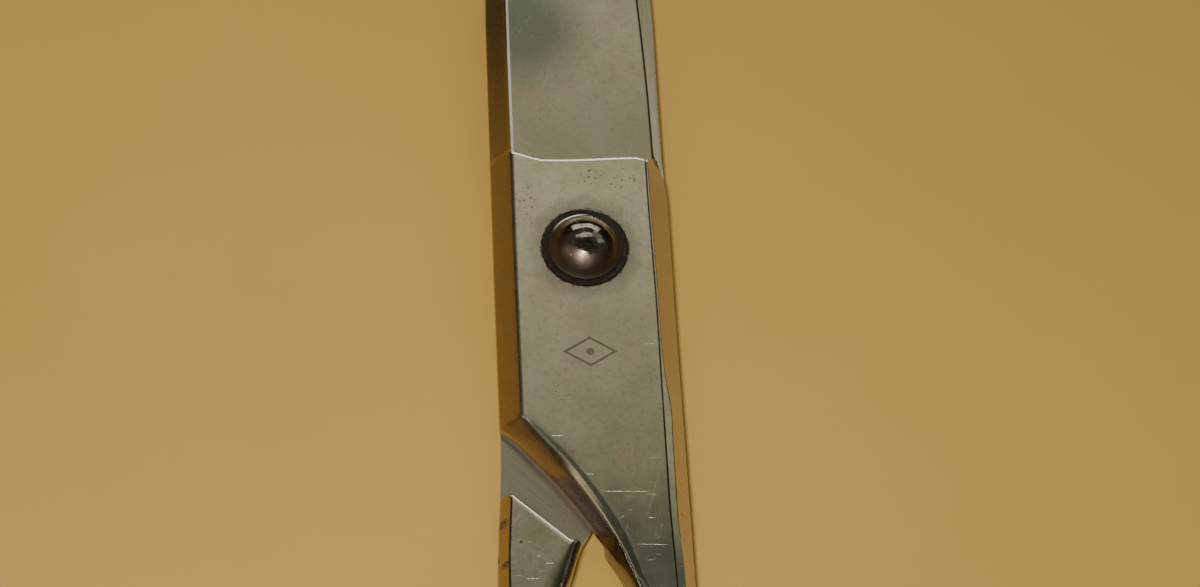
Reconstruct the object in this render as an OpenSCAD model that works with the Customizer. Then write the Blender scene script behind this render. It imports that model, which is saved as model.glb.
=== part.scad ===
// Straight-pattern tailor's shears: two forged halves that cross at one domed pivot bolt.
// The origin is on the pivot axis, in the flat outer face of the lower half, which the
// shears lie on. +Z runs up the pivot, +Y points to the blade tips, +X to the thumb bow.

/* [Blades] */
// Distance from the pivot to the tips
blade_reach = 126; // [110:1:140]
// Half of the width across the spines at the pivot
half_width = 13.7; // [13:0.1:14.5]
// Width of the cutting side of a blade at its heel, from the pivot line
heel_width = 12; // [11.5:0.1:12.5]
// Thickness of one half at the pivot
half_thick = 5; // [4.6:0.1:5.4]
// Thickness of a blade's spine at the tip
tip_thick = 2.6; // [2:0.1:3.5]
// Where the ground blade face stops and the full-thickness pivot flat begins
shoulder_y = 15.3; // [13:0.1:17]
// Gap between the two inner faces
face_gap = 0.06; // [0.02:0.01:0.1]

/* [Shanks] */
// Width of the long outer bevel
bevel = 3.2; // [2.5:0.1:3.6]
// Height of the upright land under the bevel
bevel_land = 0.7; // [0.4:0.1:1]
// Where the crossing edge leaves the spine
cross_y = -28.4; // [-31:0.1:-26]
// Where the shanks are furthest apart
waist_y = -62; // [-64:0.5:-60]

/* [Bows] */
// Thickness of a bow's wall across its opening
bow_wall = 7.2; // [6:0.1:8]
// Height of a bow's wall
bow_height = 8.8; // [8:0.1:9.4]
// Half of the width of each finger opening
bow_half_w = 13.5; // [12.5:0.1:14]
// Half of the length of the thumb opening
thumb_half_l = 18; // [16:0.5:19]
// Half of the length of the finger opening
finger_half_l = 27; // [25:0.5:28]
// Centre of the thumb bow along Y
thumb_y = -104; // [-106:0.5:-103]
// Centre of the finger bow along Y
finger_y = -109.5; // [-111:0.5:-108.5]

/* [Pivot] */
// Radius of the domed head
head_r = 5.6; // [5:0.1:6]
// Height of the domed head above its rim
head_h = 3.3; // [2.8:0.1:3.8]
// Side of the square neck
neck_side = 6.4; // [6:0.1:6.6]
// Radius of the bearing part of the bolt
journal_r = 3.15; // [3:0.05:3.3]
// Radius of the threaded end
thread_r = 2.5; // [2.2:0.1:2.6]
// Radius of the nut
nut_r = 5.3; // [5:0.1:5.5]
// Thickness of the nut
nut_t = 1.75; // [1.5:0.05:1.9]
// Running clearance of the journal in its bore
journal_gap = 0.05; // [0.02:0.01:0.1]

/* [Hidden] */
$fn = 64;

full_thick = 2 * half_thick;
inner_z = half_thick + face_gap / 2;          // inner face of a half whose outer face is up
land_z = inner_z + bevel_land;                // foot of the outer bevel
edge_land = 0.3;                              // upright land under the ground face
edge_z = inner_z + edge_land;                 // top of the cutting edge's land
blade_drop = 0.25;                            // the blade's face starts this far below the flat
tip_round = 2.4;                              // length of the rounded tip
spine_in = 0.2;                               // the spine steps in by this much at the crossing
shank_out = 0.45;                             // the outer side of the shank swells by this much
shank_half = half_width + shank_out;          // outer side of the shank at the waist
shank_low_z = 2.4;                            // that side is upright down to here
shank_chamfer = 1.5;                          // and then chamfered by this much
shank_round = 3;                              // width of the rounding on the inner side
flat_in = 0.4;                                // from the bevel to the flat on the thumb side
facet_start = -17;                            // where the narrow facet beside the bevel begins
facet_l = 12;                                 // it reaches its full width over this length
facet_w = 1.2;                                // full width of that facet
facet_drop = 0.3;                             // its outer edge is this much lower than the flat
throat_bevel = 0.8;                           // width of the crossing edge's bevel at the throat
bow_gap = 0.55;                               // from each bow to the plane between the bows
thumb_lean = 8;                               // each bow leans towards the pivot line, in degrees
finger_lean = 5;
bow_cz = half_thick;                          // the bows are centred on the parting plane
neck_height = bow_height - 0.3;               // a neck is a little thinner than its bow
neck_round = 2.3;                             // its edges are rounded by this much
spotface_r = 6.7;
spotface_depth = 0.35;
washer_r = 6.55;
washer_t = 0.42;
rim_t = 0.35;                                 // upright rim under the dome
counterbore_r = nut_r + 0.35;
counterbore_depth = nut_t + 0.75;
nut_washer_t = 0.4;
nut_recess = 0.25;                            // the nut stays this far inside the outer face
fit = 0.03;                                   // gap between pieces that turn together
stack_gap = 0.05;                             // end play in the pivot stack
thread_gap = 0.01;                            // between the bolt's end and what is fixed on it
bolt_recess = 0.4;                            // the bolt's end stays this far inside the outer face
cut = 1;                                      // how far a cutting shape runs past a face

// ---- curves -------------------------------------------------------------------------------

function smooth(t) = let (u = min(1, max(0, t))) u * u * (3 - 2 * u);
function mix(a, b, t) = a + (b - a) * t;

// Cubic from (y0, x0) to (y1, x1) with the slopes m0 and m1.
function cubic(y, y0, x0, m0, y1, x1, m1) =
    let (h = y1 - y0, t = (y - y0) / h)
    (2 * t - 3) * t * t * (x0 - x1) + x0
    + (t * t * t - 2 * t * t + t) * h * m0 + (t * t * t - t * t) * h * m1;

// Spine and cutting edge of a blade, both bowed towards the tip.
spine_bow_y = 40;
spine_tip_x = -2;
edge_tip_x = 1.4;
function spine_x(y) = -half_width + (spine_tip_x + half_width)
    * pow(max(0, y - spine_bow_y) / (blade_reach - spine_bow_y), 2);
function edge_x(y) = mix(heel_width, edge_tip_x,
    pow(max(0, y - shoulder_y) / (blade_reach - shoulder_y), 2));

// The heel: the side steps in from the shank to the cutting edge.
heel_low_y = shoulder_y - 5.3;
heel_high_y = shoulder_y + 3.2;
function heel_x(y) = mix(half_width, edge_x(y),
    smooth((y - heel_low_y) / (heel_high_y - heel_low_y)));

// The rounded tip draws both sides in to the middle.
function tip_factor(y) =
    let (t = max(0, y - (blade_reach - tip_round)) / tip_round) sqrt(max(0, 1 - t * t));
function tip_mid(y) = (spine_x(y) + edge_x(y)) / 2;

// Crossing side and thumb side of a half as functions of y.
waist_x = 5.9;
throat_y = -52.9;
throat_x = 4.25;
throat_slope = -0.48;
cross_slope = -1;
function cross_x(y) = y > throat_y
    ? cubic(y, cross_y, -half_width + spine_in, cross_slope, throat_y, throat_x, throat_slope)
    : cubic(y, throat_y, throat_x, throat_slope, waist_y, waist_x, 0);
swell_y = 5;
function outer_x(y) = mix(half_width, shank_half, smooth((swell_y - y) / (swell_y - throat_y)));

function left_x(y) =
    y > 0 ? mix(tip_mid(y), spine_x(y), tip_factor(y)) :
    y > cross_y ? -half_width + spine_in * smooth(y / cross_y) : cross_x(y);
function right_x(y) =
    y > heel_low_y ? mix(tip_mid(y), heel_x(y), tip_factor(y)) : outer_x(y);

// Height of the blade's face at the spine, and the width of the bevel beside it.
function spine_z(y) = mix(full_thick - blade_drop, inner_z + tip_thick,
    (y - shoulder_y) / (blade_reach - shoulder_y));
heel_bevel_part = 0.97;
tip_bevel_part = 0.5;
function spine_bevel(y) = bevel * mix(heel_bevel_part, tip_bevel_part,
    smooth((y - spine_bow_y) / (blade_reach - spine_bow_y)));

// Width across the shank of the bevel along the crossing edge: it mitres round the corner, then
// narrows to a rounded edge at the throat.
mitre_part = 1.38;
function cross_bevel(y) = mix(bevel * mitre_part, throat_bevel,
    smooth((cross_y - 1 - y) / (cross_y - throat_y)));

// ---- sections -------------------------------------------------------------------------------

// Blade section, 14 points in x and z: spine land, bevel, ground face, edge land, inner face.
function blade_section(y) =
    let (l = left_x(y), r = right_x(y), zs = spine_z(y), f = l + min(spine_bevel(y), (r - l) / 2))
    [[l, land_z], [f, zs],
     for (t = [0.25, 0.5, 0.75, 0.88, 0.95]) [mix(f, r, t), mix(zs, edge_z, t)], [r, edge_z],
     [r, inner_z], for (t = [0.9, 0.75, 0.3, 0.1]) [mix(l, r, t), inner_z], [l, inner_z]];

// Pivot and shank section: the inner face lies at z = low on the way to the full thickness.
function body_section(y, low) =
    let (l = left_x(y), r = right_x(y),
         f = y > cross_y ? l + bevel : l + cross_bevel(y), flat_r = r - bevel - flat_in,
         k = smooth((facet_start - y) / facet_l),
         facet = mix([mix(flat_r, r, 0.1), mix(full_thick, land_z, 0.1)],
                     [flat_r + facet_w, full_thick - facet_drop], k),
         u = (inner_z - low) / inner_z, low_r = r - shank_chamfer, low_l = l + shank_round)
    [[l, land_z], [f, full_thick],
     for (t = [0.25, 0.5, 0.75]) [mix(f, flat_r, t), full_thick],
     [flat_r, full_thick], facet, [r, land_z],
     [r, mix(inner_z, shank_low_z, u)], [mix(mix(l, r, 0.9), low_r, u), low],
     [mix(mix(l, r, 0.75), (low_l + low_r) / 2, u), low], [mix(mix(l, r, 0.3), low_l, u), low],
     [mix(mix(l, r, 0.1), l + shank_round / 3, u), mix(inner_z, shank_round * 2 / 3, u)],
     [l, inner_z]];

// Rounded section of the neck that runs into a bow, between the sides l and r.
function neck_section(l, r) =
    let (z0 = bow_cz - neck_height / 2, z1 = bow_cz + neck_height / 2, h = neck_round,
         c = min(h, 0.3 * (r - l)), edge = l + 0.12 * c)
    [[edge, z1 - h], [l + c, z1], for (t = [0.25, 0.5, 0.75]) [mix(l + c, r - c, t), z1],
     [r - c, z1], [r - 0.4 * c, z1 - 0.4 * h], [r, z1 - h],
     [r, z0 + h], [r - c, z0], [(l + r) / 2, z0], [l + c, z0], [edge, z0 + h], [l, bow_cz]];

function mix_section(a, b, t) = [for (i = [0 : len(a) - 1]) mix(a[i], b[i], t)];

// Puts a section at y. The shoulder bends forward at the spine side by the lead given.
shoulder_lead = 1.3;
lead_x = -3.5;
lead_w = 7;
function ring(s, y, lead = 0) =
    [for (p = s) [p[0], y + lead * smooth((lead_x - p[0]) / lead_w), p[1]]];

// ---- solids ---------------------------------------------------------------------------------

// Skins a list of rings that all have the same number of points.
module loft(rings) {
    n = len(rings);
    k = len(rings[0]);
    sides = [for (i = [0 : n - 2], j = [0 : k - 1]) let (a = i * k + j, b = i * k + (j + 1) % k)
        each [[a, b, a + k], [b, b + k, a + k]]];
    caps = [[for (j = [k : -1 : 1]) j % k], [for (j = [0 : k - 1]) (n - 1) * k + j]];
    polyhedron(points = [for (r = rings) each r], faces = concat(sides, caps));
}

// A bow's wall: one rounded section swept round an ellipse that leans towards the pivot line.
// b = [centre x, centre y, half length of the opening, lean in degrees]
bow_sides = 12;
bow_steps = 40;
module bow_ring(b) {
    section = [for (j = [0 : bow_sides - 1]) let (q = 360 * (j + 0.5) / bow_sides)
        [bow_wall / 2 * cos(q) / cos(180 / bow_sides), bow_height / 2 * sin(q) / cos(180 / bow_sides)]];
    points = [for (i = [0 : bow_steps - 1], p = section)
        let (a = 360 * i / bow_steps, out = bow_wall / 2 + p[0], rx = bow_half_w + out, ry = b[2] + out)
        [rx * cos(a), ry * sin(a), p[1]]];
    faces = [for (i = [0 : bow_steps - 1], j = [0 : bow_sides - 1])
        let (m = (i + 1) % bow_steps, n = (j + 1) % bow_sides,
             q = [i * bow_sides + j, i * bow_sides + n, m * bow_sides + n, m * bow_sides + j])
        each [[q[0], q[1], q[2]], [q[0], q[2], q[3]]]];
    translate([b[0], b[1], bow_cz]) rotate(b[3]) polyhedron(points = points, faces = faces);
}

// Sides of the neck below the waist, as fractions of the way down the bow's shoulder.
// Each row: fraction of the half length above the bow's centre, left side, right side.
neck_rows = [[1.3, 5.5, 14.3], [1.13, 4.9, 15.4], [1.03, 4.5, 17.6], [0.95, 4.1, 20.5],
             [0.86, 3.6, 19], [0.77, 3.1, 14.5], [0.66, 2.6, 11], [0.52, 1.9, 9], [0.36, 1.2, 7.2]];
function bow_outer_l(b) = b[2] + bow_wall;
function neck_rings(b) = [for (n = neck_rows) ring(neck_section(n[1], n[2]), b[1] + n[0] * bow_outer_l(b))];

blade_ys = concat([for (t = [0.985, 0.85, 0.5]) blade_reach - tip_round * (1 - t)],
    [for (i = [0 : 12]) mix(blade_reach - tip_round, heel_high_y, i / 12)]);
shank_end_y = -56;
pivot_ys = [heel_low_y + 3.5, heel_low_y, -8, facet_start, facet_start - facet_l / 2, cross_y];
shank_ys = [for (i = [0 : 9]) mix(cross_y - 0.6, shank_end_y, i / 9)];

// At the waist the bevelled section starts to turn into the rounded one.
function waist_section() =
    mix_section(body_section(waist_y, 0), neck_section(waist_x, shank_half), 0.3);

// One half with its outer face up, before the pivot holes.
module half_solid(b) {
    shoulder_gap = 0.12;
    difference() {
        union() {
            loft(concat(
                [for (y = blade_ys) ring(blade_section(y), y)],
                [ring(blade_section(shoulder_y), shoulder_y + shoulder_gap, shoulder_lead),
                 ring(body_section(shoulder_y, inner_z), shoulder_y - shoulder_gap, shoulder_lead)],
                [for (y = pivot_ys) ring(body_section(y, inner_z), y)],
                [for (y = shank_ys) ring(body_section(y, 0), y)],
                [ring(waist_section(), waist_y)],
                neck_rings(b)));
            bow_ring(b);
        }
        crossing_relief();
    }
}

// Room for the other half: everything under the parting plane in front of the curved wall.
wall_out = [14.4, -39.4];
wall_in = [0, -52.4];
wall_slopes = [0.6, 1.02];
wall_steps = 6;
module crossing_relief() {
    far = half_width + 8;
    front = cross_y + 4;
    wall = [for (i = [0 : wall_steps]) let (x = mix(wall_out[0], wall_in[0], i / wall_steps))
        [x, cubic(x, wall_out[0], wall_out[1], wall_slopes[0],
                  wall_in[0], wall_in[1], wall_slopes[1])]];
    translate([0, 0, -cut]) linear_extrude(inner_z + cut)
        polygon(concat([[-far, front], [far, front], [far, wall_out[1] + 4]],
                       wall, [[-far, wall_in[1] - 6]]));
}

bow_x = bow_gap + bow_half_w + bow_wall;
function thumb_bow() = [bow_x, thumb_y, thumb_half_l, thumb_lean];
function finger_bow() = [bow_x, finger_y, finger_half_l, finger_lean];

// A plain lozenge pressed into the outer face of the upper half.
mark_y = -17.6;
mark_l = 8.2;
mark_w = 5;
mark_depth = 0.12;
mark_line = 0.85;                             // inner lozenge as a part of the outer one
module lozenge(part) {
    polygon(part / 2 * [[mark_l, 0], [0, mark_w], [-mark_l, 0], [0, -mark_w]]);
}
module mark_cut() {
    translate([0, mark_y, full_thick - mark_depth]) linear_extrude(cut)
        difference() {
            lozenge(1);
            lozenge(mark_line);
        }
}

// Square hole for the bolt's neck.
module square_hole() {
    side = neck_side + 2 * fit;
    translate([-side / 2, -side / 2, inner_z - cut]) cube([side, side, full_thick]);
}

module upper_half() {
    color([0.62, 0.6, 0.54]) difference() {
        half_solid(thumb_bow());
        square_hole();
        translate([0, 0, full_thick - spotface_depth]) cylinder(r = spotface_r, h = cut);
        mark_cut();
    }
}

module lower_half() {
    color([0.55, 0.53, 0.48]) difference() {
        translate([0, 0, full_thick]) rotate([0, 180, 0]) half_solid(finger_bow());
        translate([0, 0, -cut]) cylinder(r = journal_r + journal_gap, h = full_thick);
        translate([0, 0, -cut]) cylinder(r = counterbore_r, h = counterbore_depth + cut);
    }
}

// Heights of the pivot stack, from the top down.
washer_z = full_thick - spotface_depth;
head_z = washer_z + washer_t;
nut_top_z = nut_recess + nut_t;
dome_r = (head_r * head_r + head_h * head_h) / (2 * head_h);

module pivot_bolt() {
    neck_z = inner_z + stack_gap;
    journal_z = counterbore_depth + stack_gap;
    color([0.5, 0.47, 0.42]) union() {
        translate([0, 0, head_z]) cylinder(r = head_r, h = rim_t);
        intersection() {
            translate([0, 0, head_z + rim_t + head_h - dome_r]) sphere(r = dome_r);
            translate([0, 0, head_z + rim_t]) cylinder(r = head_r, h = head_h + cut);
        }
        translate([-neck_side / 2, -neck_side / 2, neck_z]) cube([neck_side, neck_side, head_z - neck_z]);
        translate([0, 0, journal_z]) cylinder(r = journal_r, h = neck_z - journal_z);
        translate([0, 0, bolt_recess]) cylinder(r = thread_r, h = neck_z - bolt_recess);
    }
}

module washer(outer, inner, t) {
    difference() {
        cylinder(r = outer, h = t);
        translate([0, 0, -cut]) cylinder(r = inner, h = t + 2 * cut);
    }
}

// Its hole clears the corners of the bolt's neck.
module head_washer() {
    color([0.2, 0.16, 0.12]) translate([0, 0, washer_z])
        washer(washer_r, neck_side / sqrt(2) + stack_gap, washer_t);
}

module nut_washer() {
    color([0.35, 0.32, 0.27]) translate([0, 0, nut_top_z + thread_gap])
        washer(nut_r - stack_gap, thread_r + stack_gap, nut_washer_t);
}

// Round nut with two notches for a pin spanner.
notch = [1.5, 1.3, 1.1];
module pivot_nut() {
    color([0.48, 0.45, 0.4]) translate([0, 0, nut_recess]) difference() {
        washer(nut_r, thread_r + thread_gap, nut_t);
        for (side = [0, 180])
            rotate(side) translate([nut_r - notch[0], -notch[1] / 2, -notch[2]])
                cube([2 * notch[0], notch[1], 2 * notch[2]]);
    }
}

lower_half();
upper_half();
pivot_bolt();
head_washer();
nut_washer();
pivot_nut();
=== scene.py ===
import math

import bmesh
import bpy
import numpy as np
from mathutils import Matrix, Vector, noise


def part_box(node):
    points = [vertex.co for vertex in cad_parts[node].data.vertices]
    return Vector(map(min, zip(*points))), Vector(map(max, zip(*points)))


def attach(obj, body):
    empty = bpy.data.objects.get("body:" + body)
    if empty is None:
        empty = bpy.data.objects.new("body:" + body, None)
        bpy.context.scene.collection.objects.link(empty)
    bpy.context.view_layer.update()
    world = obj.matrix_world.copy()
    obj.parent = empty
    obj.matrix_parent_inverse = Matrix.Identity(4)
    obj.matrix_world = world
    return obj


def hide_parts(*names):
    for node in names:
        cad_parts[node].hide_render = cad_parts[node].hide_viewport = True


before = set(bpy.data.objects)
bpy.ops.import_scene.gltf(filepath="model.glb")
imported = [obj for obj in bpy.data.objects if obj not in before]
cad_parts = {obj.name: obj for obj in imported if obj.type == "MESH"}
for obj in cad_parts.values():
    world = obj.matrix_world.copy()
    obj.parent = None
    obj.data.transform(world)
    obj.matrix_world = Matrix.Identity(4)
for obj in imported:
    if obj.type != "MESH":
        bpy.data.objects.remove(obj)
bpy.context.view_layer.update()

# The shears are drawn in millimetres in the frame's own axes and scaled to metres at the end.
MM = 0.001


def box_mm(node):
    """Lowest and highest corner of a CAD node in millimetres."""
    low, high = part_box(node)
    return np.array(low) / MM, np.array(high) / MM


UPPER_HIGH = box_mm("upper_half")[1]
BOLT_LOW, BOLT_HIGH = box_mm("pivot_bolt")
WASHER_LOW, WASHER_HIGH = box_mm("head_washer")
NUT_LOW, NUT_HIGH = box_mm("pivot_nut")
NUT_WASHER_LOW, NUT_WASHER_HIGH = box_mm("nut_washer")


# ---- sizes of the halves -------------------------------------------------------------------------
# A half is drawn with its outer face up; x runs from its spine to its cutting edge and thumb side.

FULL = round(UPPER_HIGH[2], 2)  # thickness of both halves together
INNER = FULL / 2 + 0.03  # inner face
REACH = UPPER_HIGH[1]  # pivot to tips
SPINE = 13.7  # pivot line to a spine
LAND = INNER + 0.7  # foot of the thumb side's bevel
SPINE_LAND = INNER + 1.1  # foot of the spine's bevel
EDGE = INNER + 0.3  # top of the cutting edge's land
HEEL = 12.0  # pivot line to the cutting edge at the heel
SHOULDER_Y = 15.3  # end of the ground blade face
CROSS_Y = -28.4  # where the crossing edge leaves the spine
FLAT_CROSS_Y = -28.1  # the same corner on the outer flat
THROAT_Y = -52.9
THROAT_X = 4.25
WAIST_Y = -62.0
WAIST_X = 5.9
BEVEL = 3.2
FLAT_SIDE = 10.0  # pivot line to the flat's edge on the thumb side
FACET_X, FACET_SLOPE = 11.55, 0.28  # the facet's far side, and its fall per millimetre
FACET_START = 0.42  # its width before it is ground wider
BLADE_DROP = 0.25  # from the outer flat down to the blade's face
TIP_THICK = 2.6
TIP_ROUND = 2.4
TIP_EDGE = 1.4  # pivot line to the cutting edge at the tip
CHAMFER = 1.5  # width of the lower outer edge's chamfer on a shank
# Outer side of each half: it swells from y to y, and from x to x.
THUMB_SIDE, FINGER_SIDE = (-5.0, -55.0, 13.65, 13.9), (-30.0, -54.0, 13.4, 14.55)
SHANK_Y = -56.0  # from here the shank blends into the bow's neck
SHANK_FALL = 0.55  # how far a shank's outer flat falls towards its bow
CORNER_SOFT = 0.3  # half length of the rounded corner at the crossing

WALL = 7.14  # a bow's wall across its opening
BOW_H = 4.39  # half of a bow's height
OPENING_W = 13.5  # half of the width of both openings
BOW_X = 21.25
THUMB = {"y": -104.0, "half": 18.0, "lean": 8.0, "neck": -68.5}
FINGER = {"y": -109.5, "half": 27.0, "lean": 5.0, "neck": -66.0}

SPOT_R, SPOT_DEPTH = 6.7, 0.35  # seat of the head's washer
SQUARE = 3.23  # half of the side of the square hole
BORE_R = 3.2
COUNTER_R, COUNTER_DEPTH = 5.65, 2.5  # seat of the nut
MARK_Y, MARK_HALF = -17.6, (4.1, 2.5)

# Rounding of a shank's inner side: distance from the side as part of its width, drop below the flat.
ROUND_SIDE = [(0.0, 4.3), (0.005, 3.5), (0.03, 2.7), (0.09, 1.95), (0.22, 1.35), (0.38, 0.86), (0.57, 0.45),
              (0.75, 0.17), (0.89, 0.04), (1.0, 0.0)]
# The crossing bevel near the spine and further down, where it is hollow under a narrow strip.
CROSS_UPPER = [(0.0, 3.87), (0.04, 3.6), (0.25, 2.65), (0.45, 1.83), (0.62, 1.13), (0.74, 0.72), (0.84, 0.42),
               (0.96, 0.2), (1.12, 0.06), (1.3, 0.0)]
CROSS_LOWER = [(0.0, 3.87), (0.02, 3.6), (0.26, 2.4), (0.48, 1.3), (0.56, 0.92), (0.7, 0.68), (0.86, 0.4),
               (0.97, 0.21), (1.12, 0.07), (1.32, 0.0)]
# Rim of the shoulder: distance in front of it, drop below the flat.
SHOULDER_RIM = [(0.74, 9.0), (0.71, 4.4), (0.68, 2.7), (0.65, 1.5), (0.62, 0.8), (0.58, 0.42), (0.53, 0.27),
                (0.45, 0.205), (0.28, 0.135), (0.1, 0.07), (-0.06, 0.02), (-0.25, 0.0)]
# Wall between the thin crossing and the full shank: distance in front of its rim, height.
WALL_RIM = [(1.5, 5.03), (1.15, 4.95), (0.9, 4.75), (0.74, 4.4), (0.66, 3.8), (0.56, 2.4), (0.48, 1.3),
            (0.43, 0.7), (0.36, 0.36), (0.24, 0.25), (0.02, 0.155), (-0.2, 0.07), (-0.45, 0.01), (-0.6, 0.0)]
WALL_LEFT_Y, WALL_RIGHT_Y = -47.8, -40.7
# Rings round the spine's corner at the crossing, on the spine side.
CORNER_YS = (-21.6, -23.2, -24.8, -26.1, -27.1, -27.6, -27.85, -28.0, -28.15, -28.3, -28.45, -28.6, -28.8,
             -29.1, -29.7)

CHAIN = 10  # points in a rounded side
ROW = 14  # points across a flat


# ---- curves --------------------------------------------------------------------------------------

def pt(*values):
    return np.array(values, float)


def smooth(t):
    t = np.clip(t, 0.0, 1.0)
    return t * t * (3 - 2 * t)


def mix(a, b, t):
    return a + (b - a) * t


def cubic(y, y0, x0, m0, y1, x1, m1):
    """Cubic through (y0, x0) and (y1, x1) with the slopes m0 and m1."""
    h = y1 - y0
    t = (y - y0) / h
    return ((2 * t - 3) * t * t * (x0 - x1) + x0
            + (t ** 3 - 2 * t * t + t) * h * m0 + (t ** 3 - t * t) * h * m1)


def fillet(before, corner, after, radius, n):
    """n points along a rounded corner."""
    p, c, q = pt(*before), pt(*corner), pt(*after)
    a = c + (p - c) * min(0.45, radius / max(1e-6, np.linalg.norm(p - c)))
    b = c + (q - c) * min(0.45, radius / max(1e-6, np.linalg.norm(q - c)))
    return [(1 - t) ** 2 * a + 2 * t * (1 - t) * c + t * t * b for t in np.linspace(0, 1, n)]


def hand_wave(y, length, phase):
    """The slight unevenness of a line that was ground by hand."""
    return math.sin(y / length + phase) + 0.6 * math.sin(2.3 * y / length + 2 * phase)


def tip_factor(y):
    t = max(0.0, y - (REACH - TIP_ROUND)) / TIP_ROUND
    return math.sqrt(max(0.0, 1 - t * t))


def blade_top(y):
    """Height of the blade's face beside the spine bevel."""
    return mix(FULL - BLADE_DROP, INNER + TIP_THICK, (y - SHOULDER_Y) / (REACH - SHOULDER_Y))


def shoulder_lead(x):
    """How far the shoulder's line runs forward of SHOULDER_Y."""
    across = 1.4 * smooth((-5.5 - x) / 5.5) + 0.45 * smooth((x + 3) / 12) - 0.1
    return across - 0.4 * smooth((x - 9.3) / 0.8) + 2.0 * smooth((x - 10.3) / 2.2)


class Half:
    """Outline and sections of one half. The lower half is worn a little narrower than the upper one at
    its spine and at its crossing."""

    def __init__(self, bow, swell, spine_wear=0.0, cross_wear=0.0):
        self.bow = bow
        self.swell = swell
        self.spine_wear = spine_wear
        self.cross_wear = cross_wear

    # -- outlines

    def spine(self, y):
        bow_y, tip_x = 40.0, -2.0
        bowed = (SPINE + tip_x) * (max(0.0, y - bow_y) / (REACH - bow_y)) ** 2
        return -SPINE + bowed + self.spine_wear * smooth((y - 2) / 10) * smooth((REACH - y) / 60)

    def cutting_edge(self, y):
        return mix(HEEL, TIP_EDGE, (max(0.0, y - SHOULDER_Y) / (REACH - SHOULDER_Y)) ** 2)

    def left_sharp(self, y):
        spine_in, slope = 0.12, -0.48
        if y > 0:
            return mix((self.spine(y) + self.cutting_edge(y)) / 2, self.spine(y), tip_factor(y))
        if y > CROSS_Y:
            return -SPINE + spine_in * smooth(y / CROSS_Y)
        worn = self.cross_wear * smooth((y - THROAT_Y + 0.6) / 8) * smooth((CROSS_Y - 1 - y) / 6)
        if y > THROAT_Y:
            return worn + cubic(y, CROSS_Y, -SPINE + spine_in, -1.0, THROAT_Y, THROAT_X, slope)
        return worn + cubic(max(y, WAIST_Y), THROAT_Y, THROAT_X, slope, WAIST_Y, WAIST_X, 0.0)

    def left(self, y):
        """Spine, then the crossing edge and the inner side of the shank."""
        return self.softened(self.left_sharp, y, CROSS_Y)

    def softened(self, line, y, corner_y):
        if abs(y - corner_y) > CORNER_SOFT:
            return line(y)
        return float(np.mean([line(y + d) for d in np.linspace(-CORNER_SOFT, CORNER_SOFT, 9)]))

    def right(self, y):
        """Cutting edge, heel, then the outer side of the shank."""
        low, high = SHOULDER_Y - 5.3, SHOULDER_Y + 3.2
        if y > low:
            side = mix(self.swell[2], self.cutting_edge(y), smooth((y - low) / (high - low)))
            return mix((self.spine(y) + self.cutting_edge(y)) / 2, side, tip_factor(y))
        start, end, from_x, to_x = self.swell
        return mix(from_x, to_x, smooth((start - y) / (start - end)))

    def flat_left_sharp(self, y):
        corner_x = -SPINE + 0.1 + BEVEL
        if y > FLAT_CROSS_Y:
            before = CROSS_Y + 2 * CORNER_SOFT
            return self.left(max(y, before)) + corner_x - self.left(before)
        end_y, end_x = -55.0, 7.0
        if y > end_y:
            return cubic(y, FLAT_CROSS_Y, corner_x, -1.12, end_y, end_x, -0.42)
        return self.left(y) + mix(end_x - self.left(end_y), 2.3, smooth((end_y - y) / 6))

    def flat_left(self, y):
        return self.softened(self.flat_left_sharp, y, FLAT_CROSS_Y)

    def flat_right(self, y):
        ground = smooth((-17 - y) / 12)
        line = FLAT_SIDE + 0.3 * smooth((12 - y) / 24) + 0.45 * smooth((-40 - y) / 16)
        return line + 0.015 * hand_wave(y, 7.0, 1.0) * ground

    # -- sides of a section, each a list of (x, z)

    def blade_right_top(self, y):
        r, top, foot_w = self.right(y), blade_top(y), self.right(y) - self.left(y)
        in_face, in_bevel = min(2.6, 0.3 * foot_w), min(0.26, 0.04 * foot_w)
        f = self.left(y) + self.spine_bevel(y)
        bevel_top = pt(r - in_bevel, EDGE + 0.32)
        slope = (top - bevel_top[1]) / (bevel_top[0] - f)
        start = pt(r - in_face, bevel_top[1] + slope * (in_face - in_bevel))
        edge, foot = pt(r, EDGE), pt(r, INNER)
        return ([start, mix(start, bevel_top, 0.4), mix(start, bevel_top, 0.7)]
                + fillet(start, bevel_top, edge, 0.08, 4) + fillet(bevel_top, edge, foot, 0.05, 3))

    def spine_bevel(self, y):
        width = BEVEL * mix(0.97, 0.5, smooth((y - 40) / (REACH - 40)))
        return min(width, 0.45 * (self.right(y) - self.left(y)))

    def blade_left_top(self, y):
        l = self.left(y)
        foot, land = pt(l, INNER), pt(l, SPINE_LAND)
        flat = pt(l + self.spine_bevel(y), blade_top(y))
        near = 0.25 / np.linalg.norm(flat - land)
        worn = min(1.0, (self.right(y) - l) / 10)
        crest = [flat + np.array(d) * worn for d in ((-0.06, -0.03), (0.03, 0.0), (0.32, 0.0), (0.4, -0.015))]
        return (fillet(foot, land, flat, 0.14, 3) + [mix(land, flat, 0.5), mix(land, flat, 0.75)]
                + [mix(flat, land, near)] + crest)

    def body_right_top(self, y):
        """Outer flat, the narrow hand-ground facet beside the bevel, and the long bevel."""
        r, flat_r, ground = self.right(y), self.flat_right(y), float(smooth((-17 - y) / 12))
        land, flat = pt(r, LAND), pt(flat_r, FULL)
        outer = FACET_X + 0.3 * float(smooth((-40 - y) / 15)) + 0.07 * hand_wave(y, 5.0, 0.4)
        facet = flat + pt(1.0, -FACET_SLOPE) * mix(FACET_START, outer - flat_r, ground)
        groove = [flat + np.array(d) for d in ((-0.05, 0.0), (0.05, -0.12), (0.18, -0.06))]
        return (groove + fillet(groove[-1], facet, land, mix(0.08, 0.16, ground), 3) + [mix(facet, land, 0.5)]
                + fillet(facet, land, [r, INNER], 0.2, 3))

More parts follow.
